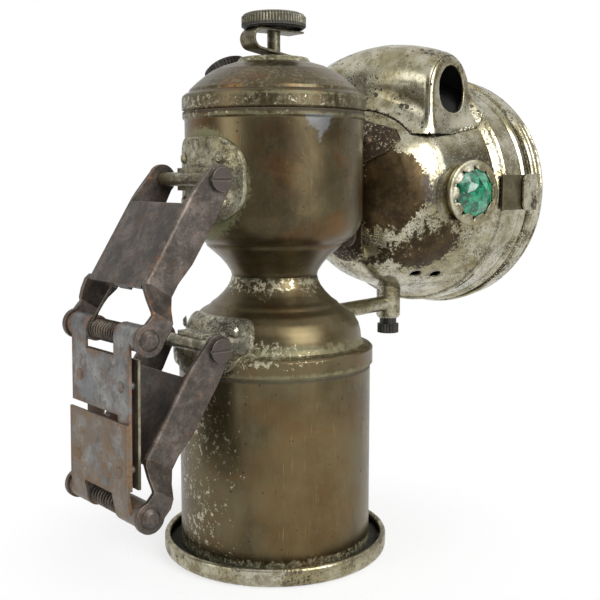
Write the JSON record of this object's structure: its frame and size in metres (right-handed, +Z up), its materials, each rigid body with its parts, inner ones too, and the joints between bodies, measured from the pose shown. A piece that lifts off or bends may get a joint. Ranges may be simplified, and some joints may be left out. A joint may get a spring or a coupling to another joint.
{
  "type": "carbide bicycle lamp",
  "caption": "Carbide bicycle lamp: water tank over a carbide chamber, round reflector head with hinged lens door and side jewels, sprung parallel-arm bracket at the back.",
  "frame": {"origin": "on the generator's axis, in the plane that the base stands on", "axes": "+X ahead, away from the bracket; +Y to the rider's left; +Z up along the generator's axis"},
  "size_m": [0.1666, 0.0959, 0.1641],
  "materials": {
    "aged_brass": "aged brown brass with worn nickel",
    "worn_nickel": "worn and pitted nickel plate on brass",
    "dark_steel": "browned steel with light rust",
    "blue_steel": "blue-grey steel with orange rust",
    "blackened": "black japanned brass",
    "bright_tin": "dulled silvered reflector",
    "green_glass": "cut and moulded",
    "red_glass": "cut and moulded",
    "clear_glass": "polished, slightly domed",
    "old_rubber": "hardened sealing ring",
    "felt": "felt pad",
    "steatite": "fired stone burner tip",
    "tin_plate": "tinned sheet"
  },
  "bodies": {
    "lamp_body": {"generator_shoulder": "aged_brass", "carbide_chamber": "aged_brass", "filter_plate": "tin_plate", "gas_filter": "felt", "drip_tube": "aged_brass", "water_tank": "aged_brass", "valve_seat": "aged_brass", "tank_cap": "aged_brass", "valve_plate": "worn_nickel", "knob_clip": "worn_nickel", "filler_neck": "worn_nickel", "head_yoke": "aged_brass", "yoke_rivets": "worn_nickel", "head_bowl": "worn_nickel", "hood": "worn_nickel", "reflector": "bright_tin", "gas_pipe": "worn_nickel", "burner_tube": "worn_nickel", "burner": "steatite", "green_setting": "worn_nickel", "green_jewel": "green_glass", "red_setting": "worn_nickel", "red_jewel": "red_glass", "bowl_hinge_leaf": "worn_nickel", "door_hinge_pin": "worn_nickel", "upper_saddle": "worn_nickel", "lower_saddle": "worn_nickel", "saddle_rivets": "worn_nickel", "upper_rod": "worn_nickel", "lower_rod": "worn_nickel"},
    "base": {"base_tray": "worn_nickel", "base_seal": "old_rubber", "carbide_cup": "tin_plate"},
    "valve_stem": {"valve_spindle": "worn_nickel"},
    "valve_wheel": {"valve_knob": "worn_nickel"},
    "filler_lid": {"filler_cap": "blackened", "filler_washer": "old_rubber"},
    "drain_stopper": {"drain_plug": "blackened"},
    "lens_door": {"door_ring": "worn_nickel", "lens": "clear_glass", "lens_clip": "dark_steel", "door_hinge_leaf": "worn_nickel", "door_strap": "worn_nickel"},
    "catch": {"catch_leaf": "dark_steel"},
    "bracket_upper_arm": {"upper_arm": "dark_steel", "upper_pin": "dark_steel"},
    "bracket_lower_arm": {"lower_arm": "dark_steel", "lower_pin": "dark_steel"},
    "bracket_back_plate": {"upper_back_plate": "blue_steel", "lower_back_plate": "blue_steel", "inner_back_plate": "dark_steel", "back_plate_rivets": "blue_steel", "upper_spring": "dark_steel", "lower_spring": "dark_steel"}
  },
  "joints": [
    {"name": "valve_lift", "type": "slide", "parent": "lamp_body", "child": "valve_stem", "axis": [0, 0, 1], "range_m": [0, 0.001]},
    {"name": "valve_turn", "type": "hinge", "parent": "valve_stem", "child": "valve_wheel", "pos_m": [0, 0, 0.16], "axis": [0, 0, 1], "range_deg": [0, 360]},
    {"name": "filler_lift", "type": "slide", "parent": "lamp_body", "child": "filler_lid", "axis": [-0.1373, 0.449, 0.8829], "range_m": [0, 0.025]},
    {"name": "base_drop", "type": "slide", "parent": "lamp_body", "child": "base", "axis": [0, 0, -1], "range_m": [0, 0.06]},
    {"name": "door_swing", "type": "hinge", "parent": "lamp_body", "child": "lens_door", "pos_m": [0.0793, 0.05876, 0.1106], "axis": [0, 0, 1], "range_deg": [0, 110]},
    {"name": "catch_press", "type": "hinge", "parent": "lamp_body", "child": "catch", "pos_m": [0.07647, -0.02541, 0.1106], "axis": [0, 0, 1], "range_deg": [0, 2], "stiffness_Nm_per_rad": 0.02, "springref_deg": -5.73},
    {"name": "drain_plug_out", "type": "slide", "parent": "lamp_body", "child": "drain_stopper", "axis": [0, 0, -1], "range_m": [0, 0.012]},
    {"name": "upper_arm_swing", "type": "hinge", "parent": "lamp_body", "child": "bracket_upper_arm", "pos_m": [-0.0308, 0, 0.1152], "axis": [0, 1, 0], "range_deg": [0, 60], "stiffness_Nm_per_rad": 0.2, "springref_deg": -28.65},
    {"name": "lower_arm_swing", "type": "hinge", "parent": "lamp_body", "child": "bracket_lower_arm", "pos_m": [-0.0316, 0, 0.0682], "axis": [0, 1, 0], "range_deg": [0, 60]},
    {"name": "back_plate_swing", "type": "hinge", "parent": "bracket_upper_arm", "child": "bracket_back_plate", "pos_m": [-0.05681, 0, 0.07438], "axis": [0, 1, 0], "range_deg": [-60, 0], "deforming": ["upper_spring", "lower_spring"]}
  ],
  "couplings": [
    {"joint": "valve_lift", "follows": "valve_turn", "m_per_rad": 0.00015915},
    {"joint": "lower_arm_swing", "follows": "upper_arm_swing", "ratio": 1},
    {"joint": "back_plate_swing", "follows": "upper_arm_swing", "ratio": -1}
  ]
}
